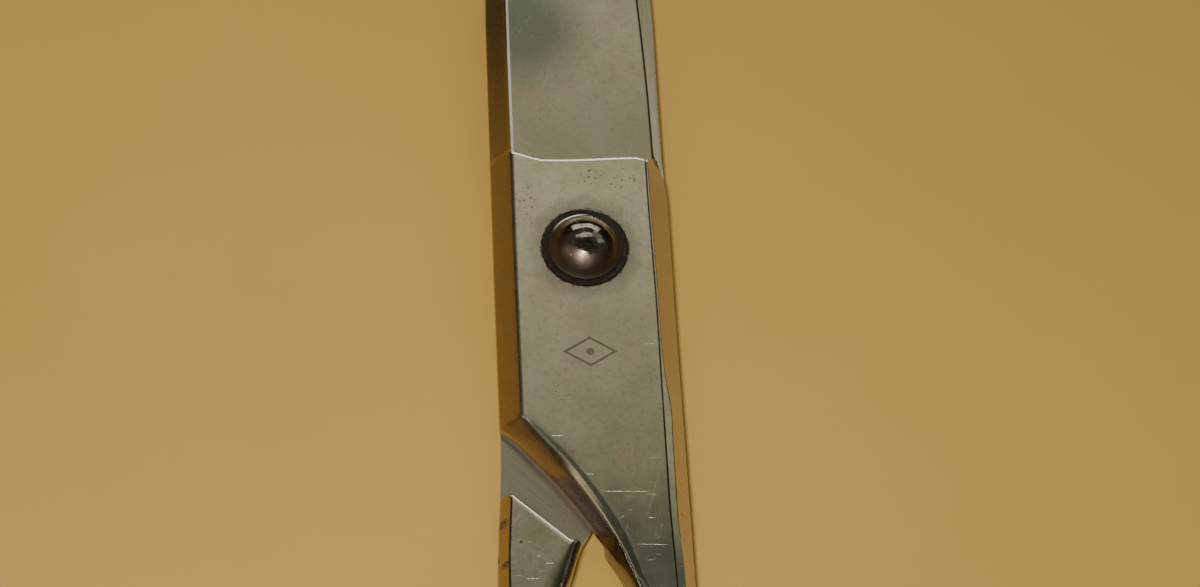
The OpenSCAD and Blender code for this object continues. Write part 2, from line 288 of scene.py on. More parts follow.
    def body_left_top(self, y):
        l, f = self.left(y), self.flat_left(y)
        land, flat = pt(l, SPINE_LAND), pt(f, FULL)
        bevel = (fillet([l, INNER], land, flat, 0.2, 3) + [mix(land, flat, 0.4), mix(land, flat, 0.7)]
                 + fillet(land, flat, [f + 3, FULL], 0.55, 5))
        for side, share in ((CROSS_UPPER, (CROSS_Y + 0.6 - y) / 4), (CROSS_LOWER, (CROSS_Y - 5.5 - y) / 5),
                            (ROUND_SIDE, (-47 - y) / 6)):
            shaped = [pt(l + d * (f - l), FULL - drop) for d, drop in side]
            bevel = [mix(a, b, float(smooth(share))) for a, b in zip(bevel, shaped)]
        return bevel

    def right_lower(self, y):
        """Outer side of the shank under the parting plane: upright, then a short chamfer."""
        r = self.right(y)
        side, chamfer, flat = [r, 2.4], [r - CHAMFER, 0.0], [r - 5, 0.0]
        return ([pt(r, z) for z in (4.5, 3.7)] + fillet([r, INNER], side, chamfer, 0.3, 3)
                + [pt(r - CHAMFER / 2, 1.2)] + fillet(side, chamfer, flat, 0.2, 4))

    def left_lower(self, y):
        """Inner side of the shank under the parting plane: one wide round, from the bottom up."""
        l, width = self.left(y), float(mix(1.6, 3.2, smooth((-47.5 - y) / 6)))
        return [pt(l + d * width, drop) for d, drop in ROUND_SIDE[::-1]]

    # -- rings: closed loops of (x, y, z)

    def blade_ring(self, y):
        l, r = self.left(y), self.right(y)
        w = r - l
        right = [pt(r - 0.32 * w * t, INNER) for t in np.linspace(0.03, 1, CHAIN)]
        left = [pt(l + 0.22 * w * t, INNER) for t in np.linspace(1, 0.1, CHAIN - 2)]
        worn = min(1.0, w / 10)
        left += [pt(l + 0.3 * worn, INNER + 0.02), pt(l + 0.05 * worn, INNER + 0.12 * worn)]
        return loop_points(self.blade_right_top(y), right, left, self.blade_left_top(y), y, y,
                           (l, INNER + 0.22 * worn), (r, INNER))

    def body_ring(self, y_left, y_right, floor=INNER):
        """Pivot flat or shank. Nothing of it lies under floor."""
        sides = [[pt(p[0], max(p[1], floor)) for p in chain]
                 for chain in (self.right_lower(y_right), self.left_lower(y_left))]
        if floor > 4:
            # in the inner face the points are spread a little so that they stay apart
            for i, p in enumerate(sides[0]):
                p[0] = self.right(y_right) - 0.2 * (i + 0.5)
        return loop_points(self.body_right_top(y_right), sides[0], sides[1], self.body_left_top(y_left),
                           y_left, y_right, (self.left(y_left), INNER), (self.right(y_right), INNER))

    def neck_ring(self, y):
        l, r = self.left(y), self.right(y)
        return loop_points(round_side(r, -1, 1), round_side(r, -1, -1)[::-1], round_side(l, 1, -1),
                           round_side(l, 1, 1)[::-1], y, y, (l, FULL / 2), (r, FULL / 2))

    def shoulder_rings(self):
        """The step from the blade's face up to the pivot flat."""
        blade, body = self.blade_ring(SHOULDER_Y), self.body_ring(SHOULDER_Y, SHOULDER_Y)
        rise = np.maximum(1e-3, body[:, 2] - blade[:, 2])
        steps = []
        for n, (ahead, drop) in enumerate(SHOULDER_RIM):
            share = np.clip((rise - drop) / rise, 0, 1)
            even = np.full_like(share, n / (len(SHOULDER_RIM) - 1))
            share = np.where(rise > 0.05, share, even)
            steps.append((SHOULDER_Y + ahead, mix(blade, body, share[:, None])))
        return steps

    def rings(self):
        """Rings of the half from its tip to the start of its bow."""
        near_tip = (0.999, 0.98, 0.93, 0.85, 0.72, 0.55, 0.3)
        ys = [REACH - TIP_ROUND * (1 - t) for t in near_tip]
        ys += list(np.linspace(REACH - TIP_ROUND, SHOULDER_Y + 6.5, 44))
        ys += [SHOULDER_Y + d for d in (5.4, 4.4, 3.5, 2.7, 2.0, 1.4, 0.95)]
        placed = [(y, self.blade_ring(y)) for y in ys]
        placed += self.shoulder_rings()
        ys = [SHOULDER_Y - d for d in (0.3, 0.8, 1.5, 2.4, 3.4, 4.5, 5.7)] + list(np.arange(8.2, -20.1, -1.4))
        placed += [(y, self.body_ring(y, y)) for y in ys]
        rings = []
        for y, ring in placed:
            near = smooth((SHOULDER_Y + 7 - y) / 6.3) * smooth((y - SHOULDER_Y + 7) / 6.5)
            ring[:, 1] = y + shoulder_lead(ring[:, 0]) * near
            rings.append(ring)
        right_y = np.linspace(-21.4, -26.6, len(CORNER_YS))
        rings += [self.body_ring(a, b) for a, b in zip(CORNER_YS, right_y)]
        wall, (start, _), (last, _) = pt(WALL_LEFT_Y, WALL_RIGHT_Y), WALL_RIM[0], WALL_RIM[-1]
        corner, shank, share = pt(CORNER_YS[-1], right_y[-1]), pt(SHANK_Y, SHANK_Y), np.linspace(0, 1, 14)[1:]
        rings += [self.body_ring(*mix(corner, wall + start, t)) for t in np.linspace(0, 1, 24)[1:-1]]
        rings += [self.body_ring(*(wall + d), z) for d, z in WALL_RIM]
        rings += [self.body_ring(*mix(wall + last, shank, t), 0.0) for t in share]
        for t in share:
            y = mix(SHANK_Y, self.bow["neck"], t)
            rings.append(mix(self.body_ring(y, y, 0.0), self.neck_ring(y), float(smooth(t))))
        return [self.fallen(ring) for ring in rings]

    def fallen(self, ring):
        """Lets the outer flat of the shank fall a little towards the bow."""
        fall, top = SHANK_FALL * smooth((-36 - ring[:, 1]) / 24), FULL / 2 + BOW_H
        z = ring[:, 2]
        lowered = z - fall * np.clip((z - INNER) / (FULL - INNER), 0, 1)
        ring[:, 2] = np.where(z > top, np.maximum(lowered, top), np.minimum(z, lowered + fall))
        return ring


def round_side(side, inwards, up):
    """Quarter-ellipse side of a bow or neck, from its middle plane up or down."""
    half_wall = WALL / 2
    return [pt(side + inwards * half_wall * (1 - math.cos(q)), FULL / 2 + up * BOW_H * math.sin(q))
            for q in np.linspace(math.pi / 2, 0, CHAIN + 1)[:CHAIN]]


def loop_points(right_top, right_low, left_low, left_top, y_left, y_right, side_left, side_right):
    """Joins the chains into one loop: flat to right side, to the bottom, to the left side, to the flat."""
    out = [(p[0], y_right, p[1]) for p in right_top] + [(side_right[0], y_right, side_right[1])]
    out += [(p[0], y_right, p[1]) for p in right_low]
    across = [i / (ROW + 1) for i in range(1, ROW + 1)]
    a, b = out[-1], (left_low[0][0], y_left, left_low[0][1])
    out += [tuple(mix(a[j], b[j], t) for j in range(3)) for t in across]
    out += [(p[0], y_left, p[1]) for p in left_low] + [(side_left[0], y_left, side_left[1])]
    out += [(p[0], y_left, p[1]) for p in left_top]
    a, b = out[-1], out[0]
    out += [tuple(mix(a[j], b[j], t) for j in range(3)) for t in across]
    return np.array(out, float)


# ---- bows ----------------------------------------------------------------------------------------

T_RIGHT, T_LEFT = 68.0, 168.0  # the neck's sides join the oval here, in degrees
STRIP = 26  # quads across a bow's wall


def bezier(p0, d0, p1, d1, n):
    """n points from p0 to p1 that leave along d0 and arrive along d1."""
    t = np.linspace(0, 1, n)[:, None]
    near, far = 3 * t * (1 - t) ** 2, 3 * t * t * (1 - t)
    return (1 - t) ** 3 * p0 + near * (p0 + d0) + far * (p1 - d1) + t ** 3 * p1


def bow_point(bow, t, grow):
    """Point of a bow's oval at t degrees, grow outside its opening."""
    a, lean = math.radians(t), math.radians(bow["lean"])
    c, s = math.cos(lean), math.sin(lean)
    x, y = (OPENING_W + grow) * math.cos(a), (bow["half"] + grow) * math.sin(a)
    return pt(BOW_X + x * c - y * s, bow["y"] + x * s + y * c)


def bow_direction(bow, t, length):
    d = bow_point(bow, t + 0.5, WALL) - bow_point(bow, t - 0.5, WALL)
    return d / np.linalg.norm(d) * length


def distance_to(points, line, closed=False):
    """Distance of each point from a polyline."""
    a = np.vstack([line, line[:1]]) if closed else line
    p, d = a[:-1], a[1:] - a[:-1]
    length = np.maximum((d * d).sum(1), 1e-12)
    rel = points[:, None, :] - p[None]
    t = np.clip((rel * d[None]).sum(2) / length[None], 0, 1)
    gap = rel - t[..., None] * d[None]
    return np.sqrt((gap * gap).sum(2)).min(1)


def bow_strip(half, end_ring):
    """Upper side of a bow as a grid of points between its opening and its outline. Some of the
    outline's stations end on the neck's last ring."""
    bow, n = half.bow, len(end_ring)
    side_r, side_l = CHAIN, 3 * CHAIN + ROW + 1
    top = list(range(side_r, -1, -1)) + list(range(n - 1, side_l - 1, -1))
    join = end_ring[top][:, :2]
    down = pt(0, -1)
    right_start, left_end = bow_point(bow, T_RIGHT, WALL), bow_point(bow, T_LEFT, WALL)
    right_side = bezier(right_start, bow_direction(bow, T_RIGHT, 6.5), join[0], -down * 7, 22)
    left_side = bezier(join[-1], down * 14, left_end, bow_direction(bow, T_LEFT, 11.0), 30)
    outer = np.vstack([right_side[:-1], join, left_side[1:]])
    weight = np.concatenate([np.full(len(right_side) - 1, 1.0), np.full(len(join), 0.7),
                             np.full(len(left_side) - 1, 0.75)])
    share = (np.cumsum(weight) - weight[0]) / (weight.sum() - weight[0])
    arc_t = list(np.linspace(T_LEFT, T_RIGHT + 360, 100)[1:-1])
    inner_t = list(T_RIGHT + (T_LEFT - T_RIGHT) * share) + arc_t
    outer = np.vstack([outer, [bow_point(bow, t, WALL) for t in arc_t]])
    inner = np.array([bow_point(bow, t, 0.0) for t in inner_t])
    first, last = len(right_side) - 1, len(right_side) - 2 + len(join)
    k = np.arange(STRIP + 1) / STRIP
    to_rim, to_neck = 0.5 * (1 - np.cos(math.pi * k)), 1 - np.cos(math.pi / 2 * k)
    grid = np.zeros((len(outer), STRIP + 1, 3))
    for s in range(len(outer)):
        t = to_neck if first < s < last else to_rim
        grid[s, :, :2] = inner[s] + (outer[s] - inner[s]) * t[:, None]
    # height from the distance to the nearest side
    flat = grid[:, :, :2].reshape(-1, 2)
    neck_ys = np.linspace(bow["neck"], bow["neck"] + 12, 25)
    hole = np.array([bow_point(bow, t, 0.0) for t in np.linspace(0, 359.5, 720)])
    arc = np.array([bow_point(bow, t, WALL) for t in np.linspace(T_LEFT, T_RIGHT + 360, 540)])
    gap = distance_to(flat, hole, closed=True)
    necks = [np.array([[side(y), y] for y in neck_ys]) for side in (half.left, half.right)]
    for line in (left_side, arc, right_side, *necks):
        gap = np.minimum(gap, distance_to(flat, line))
    u = np.clip(gap / (WALL / 2), 0, 1)
    height = BOW_H * np.sqrt(np.maximum(0.0, 1 - (1 - u) ** 2))
    grid[:, :, 2] = FULL / 2 + height.reshape(len(outer), STRIP + 1)
    grid[:, 0, 2] = FULL / 2
    on_neck = np.zeros(len(outer), bool)
    on_neck[first:last + 1] = True
    grid[~on_neck, -1, 2] = FULL / 2
    grid[on_neck, -1, 2] = end_ring[top][:, 2]
    return grid


# ---- meshes --------------------------------------------------------------------------------------

def grid_faces(rows, cols, wrap_rows=False, wrap_cols=False, start=0, flip=False):
    faces = []
    for i in range(rows if wrap_rows else rows - 1):
        for j in range(cols if wrap_cols else cols - 1):
            a, b = start + i * cols + j, start + i * cols + (j + 1) % cols
            c, d = start + (i + 1) % rows * cols + (j + 1) % cols, start + (i + 1) % rows * cols + j
            faces.append((d, c, b, a) if flip else (a, b, c, d))
    return faces


def new_object(name, vertices, faces):
    mesh = bpy.data.meshes.new(name)
    mesh.from_pydata([tuple(v) for v in vertices], [], faces)
    mesh.validate()
    obj = bpy.data.objects.new(name, mesh)
    bpy.context.scene.collection.objects.link(obj)
    return obj


def clean(obj, merge=2e-4):
    """Welds coinciding points, drops what collapsed and turns the faces outwards."""
    bm = bmesh.new()
    bm.from_mesh(obj.data)
    bmesh.ops.remove_doubles(bm, verts=bm.verts, dist=merge)
    bmesh.ops.dissolve_degenerate(bm, dist=1e-5, edges=bm.edges)
    bmesh.ops.recalc_face_normals(bm, faces=bm.faces)
    if bm.calc_volume(signed=True) < 0:
        bmesh.ops.reverse_faces(bm, faces=bm.faces)
    bm.to_mesh(obj.data)
    bm.free()


def half_mesh(name, half):
    rings = half.rings()
    n = len(rings[0])
    vertices = np.vstack(rings)
    faces = grid_faces(len(rings), n, wrap_cols=True)
    faces.append(tuple(range(n)))
    grid = bow_strip(half, rings[-1])
    under = grid * pt(1, 1, -1) + pt(0, 0, FULL)
    stations, rows = grid.shape[:2]
    start = len(vertices)
    vertices = np.vstack([vertices, grid.reshape(-1, 3), under.reshape(-1, 3)])
    faces += grid_faces(stations, rows, wrap_rows=True, start=start)
    faces += grid_faces(stations, rows, wrap_rows=True, start=start + stations * rows, flip=True)
    obj = new_object(name, vertices, faces)
    clean(obj)
    return obj


def lathe(name, profile, segments=96, shape=None):
    """Turns a profile of (radius, z) about the Z axis. A radius of 0 is a pole; a profile without poles
    closes on itself. shape(radius, z, angle) may change the radius."""
    vertices, faces, rows = [], [], []
    angles = [2 * math.pi * i / segments for i in range(segments)]
    for r, z in profile:
        if r < 1e-6:
            rows.append([len(vertices)])
            vertices.append((0.0, 0.0, z))
            continue
        rows.append(list(range(len(vertices), len(vertices) + segments)))
        for a in angles:
            radius = shape(r, z, a) if shape else r
            vertices.append((radius * math.cos(a), radius * math.sin(a), z))
    closed = len(rows[0]) > 1 and len(rows[-1]) > 1
    for a, b in zip(rows, rows[1:] + rows[:1] if closed else rows[1:]):
        for i in range(segments):
            j = (i + 1) % segments
            if len(a) == 1:
                faces.append((a[0], b[i], b[j]))
            elif len(b) == 1:
                faces.append((a[i], b[0], a[j]))
            else:
                faces.append((a[i], b[i], b[j], a[j]))
    obj = new_object(name, vertices, faces)
    clean(obj)
    return obj


def prism(name, outline, z0, z1):
    n = len(outline)
    vertices = [(x, y, z0) for x, y in outline] + [(x, y, z1) for x, y in outline]
    faces = [tuple(range(n - 1, -1, -1)), tuple(range(n, 2 * n))]
    faces += [(i, (i + 1) % n, n + (i + 1) % n, n + i) for i in range(n)]
    return new_object(name, vertices, faces)


def carve(obj, cutter):
    """Takes the cutter's shape out of obj and deletes the cutter."""
    modifier = obj.modifiers.new("carve", "BOOLEAN")
    modifier.operation = "DIFFERENCE"
    modifier.solver = "EXACT"
    modifier.object = cutter
    done = bpy.data.meshes.new_from_object(obj.evaluated_get(bpy.context.evaluated_depsgraph_get()))
    obj.modifiers.clear()
    old, obj.data = obj.data, done
    bpy.data.meshes.remove(old)
    bpy.data.objects.remove(cutter)


def finish_piece(obj, body, node, material, turn_over=False):
    """Scales, shades and paints a piece, ties it to its body and hides its CAD node. turn_over lays a half
    with its outer face down."""
    m = Matrix.Scale(MM, 4)
    if turn_over:
        m = m @ Matrix.Translation((0, 0, FULL)) @ Matrix.Rotation(math.pi, 4, "Y")
    obj.data.transform(m)
    for face in obj.data.polygons:
        face.use_smooth = True
    obj.data.set_sharp_from_angle(angle=math.radians(34))
    weighted = obj.modifiers.new("weighted normals", "WEIGHTED_NORMAL")
    weighted.keep_sharp = True
    weighted.weight = 50
    obj.data.materials.clear()
    obj.data.materials.append(material)
    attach(obj, body)
    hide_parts(node)


# ---- pieces --------------------------------------------------------------------------------------

def lozenge(part):
    a, b = MARK_HALF[0] * part, MARK_HALF[1] * part
    return [(a, MARK_Y), (0, MARK_Y + b), (-a, MARK_Y), (0, MARK_Y - b)]


def engrave_mark(obj, depth=0.12, line=0.82):
    """A plain lozenge outline with a small dot in it."""
    cutter = prism("mark", lozenge(1.0), FULL - depth, FULL + 1)
    carve(cutter, prism("mark inside", lozenge(line), FULL - 1, FULL + 2))
    carve(obj, cutter)
    dot = [(0.6 * math.cos(a), MARK_Y + 0.6 * math.sin(a)) for a in np.linspace(0, 2 * math.pi, 25)[:-1]]
    carve(obj, prism("dot", dot, FULL - depth, FULL + 1))


def make_upper(material):
    obj = half_mesh("upper_half_detail", Half(THUMB, THUMB_SIDE))
    soft, floor, wall = 0.07, FULL - SPOT_DEPTH, SPOT_R - 0.1
    carve(obj, lathe("seat", [(0, floor), (wall, floor), (wall, FULL - soft), (wall + 2 * soft, FULL + soft),
                              (wall + 2 * soft, FULL + 1), (0, FULL + 1)]))
    corners = [(-SQUARE, -SQUARE), (SQUARE, -SQUARE), (SQUARE, SQUARE), (-SQUARE, SQUARE)]
    carve(obj, prism("square", corners, INNER - 1, FULL + 1))
    engrave_mark(obj)
    finish_piece(obj, "upper", "upper_half", material)


def make_lower(material):
    obj = half_mesh("lower_half_detail", Half(FINGER, FINGER_SIDE, spine_wear=0.33, cross_wear=1.3))
    seat, soft = FULL - COUNTER_DEPTH, 0.12
    mouth = COUNTER_R + 2 * soft
    carve(obj, lathe("bore", [(0, INNER - 1), (BORE_R + 1 - soft, INNER - 1), (BORE_R, INNER + soft),
                              (BORE_R, seat), (COUNTER_R, seat), (COUNTER_R, FULL - soft),
                              (mouth, FULL + soft), (mouth, FULL + 1), (0, FULL + 1)]))
    finish_piece(obj, "lower", "lower_half", material, turn_over=True)


def make_bolt(material):
    """Domed head with a slightly hammered surface, square neck, journal and threaded end."""
    head_r, rim, low_z, top_z = 5.6, 0.35, WASHER_HIGH[2], BOLT_HIGH[2]
    dome_r, rise = head_r - 0.32, top_z - low_z - rim - 0.14
    ball_r = (dome_r ** 2 + rise ** 2) / (2 * rise)
    half_angle = math.asin(dome_r / ball_r)
    neck_low, journal_low, end_z = INNER + 0.05, COUNTER_DEPTH + 0.05, BOLT_LOW[2]
    neck, journal, thread, tip = 3.2, 3.15, 2.5, 0.3
    profile = [(0, end_z + 0.35), (0.5, end_z + 0.28), (0.8, end_z), (thread - tip, end_z),
               (thread, end_z + tip)]
    pitch = 0.5
    for i in range(4):
        z = end_z + tip + 0.1 + pitch * i
        profile += [(thread - 0.02, z), (thread - 0.22, z + 0.25 * pitch), (thread - 0.02, z + 0.5 * pitch)]
    profile += [(thread, journal_low), (journal - 0.1, journal_low), (journal, journal_low + 0.1),
                (journal, neck_low), (neck, neck_low), (neck, low_z), (head_r - 0.12, low_z),
                (head_r - 0.02, low_z + 0.05), (head_r, low_z + 0.15), (head_r, low_z + rim - 0.05),
                (head_r - 0.04, low_z + rim), (head_r - 0.16, low_z + rim + 0.08),
                (dome_r + 0.04, low_z + rim + 0.12)]
    profile += [(ball_r * math.sin(a), top_z - ball_r + ball_r * math.cos(a))
                for a in np.linspace(half_angle * 0.985, 0, 34)]

    def shape(r, z, angle):
        if neck_low - 0.01 < z < low_z + 0.01 and abs(r - neck) < 0.01:
            square = neck / max(abs(math.cos(angle)), abs(math.sin(angle)))
            return min(square, neck * math.sqrt(2) - 0.08)
        return r

    obj = lathe("pivot_bolt_detail", profile, 128, shape)
    for v in obj.data.vertices:
        if v.co.z > low_z + rim + 0.1:
            centre = Vector((0, 0, top_z - ball_r))
            away = (v.co - centre).normalized()
            dent = 0.035 * (0.5 + 0.5 * noise.noise(away * 4.2 + Vector((3.1, 0, 0))))
            dent += 0.012 * (0.5 + 0.5 * noise.noise(away * 11.0))
            v.co -= away * dent
    finish_piece(obj, "upper", "pivot_bolt", material)


def ring_profile(inner, outer, z0, z1, soft):
    return [(inner + soft, z0), (outer - soft, z0), (outer, z0 + soft), (outer, z1 - soft),
            (outer - soft, z1), (inner + soft, z1), (inner, z1 - soft), (inner, z0 + soft)]


def make_head_washer(material):
    """The blackened washer, with a ragged edge where old oil has caked on it."""
    def shape(r, z, angle):
        if r < 6:
            return r
        where = Vector((math.cos(angle), math.sin(angle), 0))
        wide, fine = noise.noise(where * 5.0), noise.noise(where * 16.0)
        return r - 0.1 * (0.5 + 0.5 * wide) - 0.05 * (0.5 + 0.5 * fine)

    profile = ring_profile(4.6, WASHER_HIGH[0], WASHER_LOW[2], WASHER_HIGH[2] - 0.01, 0.09)
    obj = lathe("head_washer_detail", profile, 160, shape)
    finish_piece(obj, "upper", "head_washer", material)


def make_nut_washer(material):
    low, high = NUT_WASHER_LOW[2] + 0.005, NUT_WASHER_HIGH[2]
    obj = lathe("nut_washer_detail", ring_profile(2.6, NUT_WASHER_HIGH[0], low, high, 0.08), 96)
    finish_piece(obj, "upper", "nut_washer", material)


def make_nut(material):
    """Round nut with two spanner notches in its lower face."""
    outer, low, high, inner = NUT_HIGH[0], NUT_LOW[2], NUT_HIGH[2], 2.52
    profile = [(inner, high), (outer - 0.15, high), (outer, high - 0.15), (outer, low + 0.3),
               (outer - 0.1, low + 0.1), (outer - 0.3, low), (inner + 0.3, low), (inner, low + 0.3)]
    obj = lathe("pivot_nut_detail", profile, 96)
    for side in (-1, 1):
        a, b = sorted((side * 3.8, side * 6.0))
        carve(obj, prism("notch", [(a, -0.65), (b, -0.65), (b, 0.65), (a, 0.65)], low - 1, low + 1.1))
    finish_piece(obj, "upper", "pivot_nut", material)


# ---- materials -----------------------------------------------------------------------------------

class Paint:
    """Node tree of one material. Its lengths are millimetres. Masks run from 0 to 1. Most methods return
    sockets; tint, roughen and raise_by change what is laid on already."""

    def __init__(self, name):
        self.material = bpy.data.materials.new(name)
        self.material.use_nodes = True
        self.tree = self.material.node_tree
        self.shader = self.tree.nodes["Principled BSDF"]
        coords = self.node("TexCoord").outputs["Object"]
        scale = self.node("VectorMath", {0: coords, 3: 1 / MM}, operation="SCALE")
        self.place = scale.outputs["Vector"]
        self.x, self.y, self.z = self.split(self.place)
        self.normal = self.node("NewGeometry").outputs["Normal"]
        self.facing = self.split(self.normal)
        self.reach = self.away_from(0.0, 0.0)
        self.color, self.rough, self.height, self.metallic = None, 0.5, 0.0, 1.0

    def node(self, kind, inputs=None, **settings):
        node = self.tree.nodes.new("ShaderNode" + kind)
        for key, value in settings.items():
            setattr(node, key, value)
        for key, value in (inputs or {}).items():
            self.connect(value, node.inputs[key])
        return node

    def connect(self, value, socket):
        """Links a socket, or sets a number, a vector or a colour."""
        if isinstance(value, bpy.types.NodeSocket):
            self.tree.links.new(value, socket)
        elif socket.type == "RGBA":
            socket.default_value = (*value, 1)
        else:
            socket.default_value = value

    # -- numbers

    def math(self, operation, a, b=0.0, c=0.0):
        return self.node("Math", {0: a, 1: b, 2: c}, operation=operation).outputs[0]

    def add(self, a, b):
        return self.math("ADD", a, b)

    def sub(self, a, b):
        return self.math("SUBTRACT", a, b)

    def abs(self, a):
        return self.math("ABSOLUTE", a)

    def line(self, value, slope, start):
        """start plus slope times value."""
        return self.math("MULTIPLY_ADD", value, slope, start)

    def both(self, *values):
        """Product of numbers and of steps, which are given as (value, low, high)."""
        return self.joined("MULTIPLY", values)

    def most(self, *values):
        return self.joined("MAXIMUM", values)

    def joined(self, operation, values):
        values = [self.step(*value) if isinstance(value, tuple) else value for value in values]
        out = values[0]
        for value in values[1:]:
            out = self.math(operation, out, value)
        return out

    def blend(self, a, b, factor):
        """Number between a and b."""
        return self.node("Mix", {0: factor, 2: a, 3: b}).outputs[0]

    def mixed(self, a, b, factor):
        """Colour between a and b."""
        return self.node("Mix", {0: factor, 6: a, 7: b}, data_type="RGBA").outputs[2]

    def split(self, vector):
        return self.node("SeparateXYZ", {0: vector}).outputs

    def away_from(self, x, y):
        """Distance from an upright line."""
        a, b = self.sub(self.x, x), self.sub(self.y, y)
        return self.math("SQRT", self.add(self.both(a, a), self.both(b, b)))

    # -- masks

    def step(self, value, low, high):
        """0 below low and 1 above high, smooth between them; low may be above high."""
        inputs = {"Value": value, "From Min": low, "From Max": high, "To Min": 0.0, "To Max": 1.0}
        return self.node("MapRange", inputs, interpolation_type="SMOOTHSTEP").outputs[0]

    def turned(self, size, angle=0.0, middle=(0.0, 0.0, 0.0)):
        """Coordinates from the middle, in which one unit is size, turned by the angle."""
        turn = (0, 0, math.radians(angle))
        inputs = {"Vector": self.place, "Location": middle, "Rotation": turn, "Scale": size}
        return self.node("Mapping", inputs, vector_type="TEXTURE").outputs[0]

    def noise(self, size, detail=3.0, rough=0.5, vector=None, shift=0.0):
        """Noise from 0 to 1 with features of about the given size."""
        where = vector or self.place
        if shift:
            inputs = {0: where, 1: (shift, shift, shift)}
            where = self.node("VectorMath", inputs, operation="ADD").outputs[0]
        inputs = {"Vector": where, "Scale": 1 / size, "Detail": detail, "Roughness": rough}
        return self.node("TexNoise", inputs).outputs[0]

    def streaks(self, length, width, angle, detail, rough):
        """Noise drawn out along the angle."""
        return self.noise(1.0, detail, rough, vector=self.turned((length, width, width), angle))

    def cells(self, vector, scale):
        """Distance to the nearest of scattered points, and that point's three random numbers."""
        found = self.node("TexVoronoi", {"Vector": vector, "Scale": scale}, voronoi_dimensions="2D")
        chance = self.node("SeparateColor", {0: found.outputs["Color"]}).outputs
        return found.outputs["Distance"], chance

    def dashes(self, length, width, angle, share, reach=0.22):
        """Short separate marks: length and width are the size of the field that each has to itself, and
        share is the part of the fields that have one."""
        distance, chance = self.cells(self.turned((length, width, width), angle), 1.0)
        size = self.both(reach, self.add(0.4, chance[1]))
        return self.both((distance, size, self.both(size, 0.35)), (chance[0], 1 - share, 1 - share + 0.01))

    def stroke(self, x, y, length, width, angle=0.0):
        """One straight mark with its middle at x, y."""
        parts = self.split(self.turned((length / 2, width / 2, 1), angle, (x, y, 0)))
        return self.both((self.abs(parts[0]), 1.0, 0.5), (self.abs(parts[1]), 1.0, 0.2))

    def spot(self, x, y, radius):
        """Soft round patch."""
        return self.step(self.away_from(x, y), radius, 0.3 * radius)

    def worn_edge(self, radius):
        """1 on edges, with the round that a bevel of this radius would give."""
        bevel = self.node("Bevel", {"Radius": radius * MM}, samples=4)
        inputs = {0: bevel.outputs[0], 1: self.normal}
        dot = self.node("VectorMath", inputs, operation="DOT_PRODUCT").outputs["Value"]
        return self.step(dot, 0.995, 0.9)

    # -- layers

    def tint(self, color, *masks):
        self.color = self.mixed(self.color, color, self.both(*masks))

    def roughen(self, value, *masks):
        self.rough = self.blend(self.rough, value, self.both(*masks))

    def raise_by(self, amount, mask):
        self.height = self.line(mask, amount, self.height)

    def finish(self):
        """Connects the layers; the height is in millimetres."""
        bump = self.node("Bump", {"Height": self.height, "Distance": MM, "Strength": 1.0})
        ends = {"Base Color": self.color, "Roughness": self.rough, "Metallic": self.metallic,
                "Normal": bump.outputs[0]}
        for key, value in ends.items():
            self.connect(value, self.shader.inputs[key])
        return self.material


NICKEL = (0.61, 0.565, 0.41)
OLIVE_NICKEL = (0.51, 0.52, 0.32)
PINK_NICKEL = (0.58, 0.47, 0.36)
DULL_NICKEL = (0.43, 0.41, 0.28)
SPECKLE = (0.36, 0.33, 0.24)
SMOKED = (0.19, 0.22, 0.17)  # cloud on the upper blade's spine side
# painted shade on the upper shank, darker towards its bow
SHADED_SHANK = (0.26, 0.275, 0.20)
# the upper blade, painted darker near its shoulder
DARKER_BLADE = (0.34, 0.33, 0.25)
# painted dark reflection on the rounding of the crossing edge
PAINTED_DARK_REFLECTION = (0.10, 0.11, 0.08)
# painted tan reflection on the strip under the crossing edge's rounding
PAINTED_TAN_REFLECTION = (0.80, 0.65, 0.42)
GROUND_LOW, GROUND_HIGH = (0.35, 0.32, 0.225), (0.50, 0.455, 0.335)
# the inner face, painted paler towards the shoulder
GROUND_PALE = (0.74, 0.69, 0.54)
BARE_STEEL = (0.70, 0.68, 0.62)
# painted highlight on the blade's crest and on rims that face the tips
PAINTED_HIGHLIGHT = (0.88, 0.85, 0.76)
PIT = (0.13, 0.10, 0.065)
RUST = (0.11, 0.045, 0.016)
# grime; also painted shade at the bolt head's foot
GRIME_AND_SHADE = (0.035, 0.024, 0.014)
# The plainest scratches of each half: middle, length, width and angle.
UPPER_MARKS = [(8.6, -34.9, 2.0, 0.16, 0), (4.2, -40.2, 8.4, 0.08, -1), (7.6, -48.4, 5.6, 0.12, -2),
               (-5.4, -31.3, 2.4, 0.10, -1), (-0.9, -37.4, 1.3, 0.4, 3), (7.9, -40.7, 1.5, 0.25, -8),
               (7.7, -44.3, 1.4, 0.12, 0), (3.3, -44.2, 1.1, 0.3, 40), (7.3, -50.7, 1.3, 0.14, 4),
               (0.6, 8.0, 1.6, 0.08, 3), (8.8, -16.4, 2.6, 0.08, 1)]
LOWER_MARKS = [(-7.4, -51.2, 1.5, 0.14, 2), (-9.8, -53.5, 2.2, 0.1, -2), (-8.9, -50.1, 0.8, 0.12, 5)]
# Middle and radius of the upper half's pitted patches and of the lower shank's rust spots.
PITTED = [(6.6, 11.6, 3.6), (-8.4, 8.8, 3.4), (2.0, 12.6, 3.0), (-4.5, -24.0, 3.0), (-8.6, 5.2, 2.2)]
RUSTED = [(-11.3, -47.9, 0.6), (-13.7, -44.5, 1.1), (-13.5, -51.0, 0.8)]


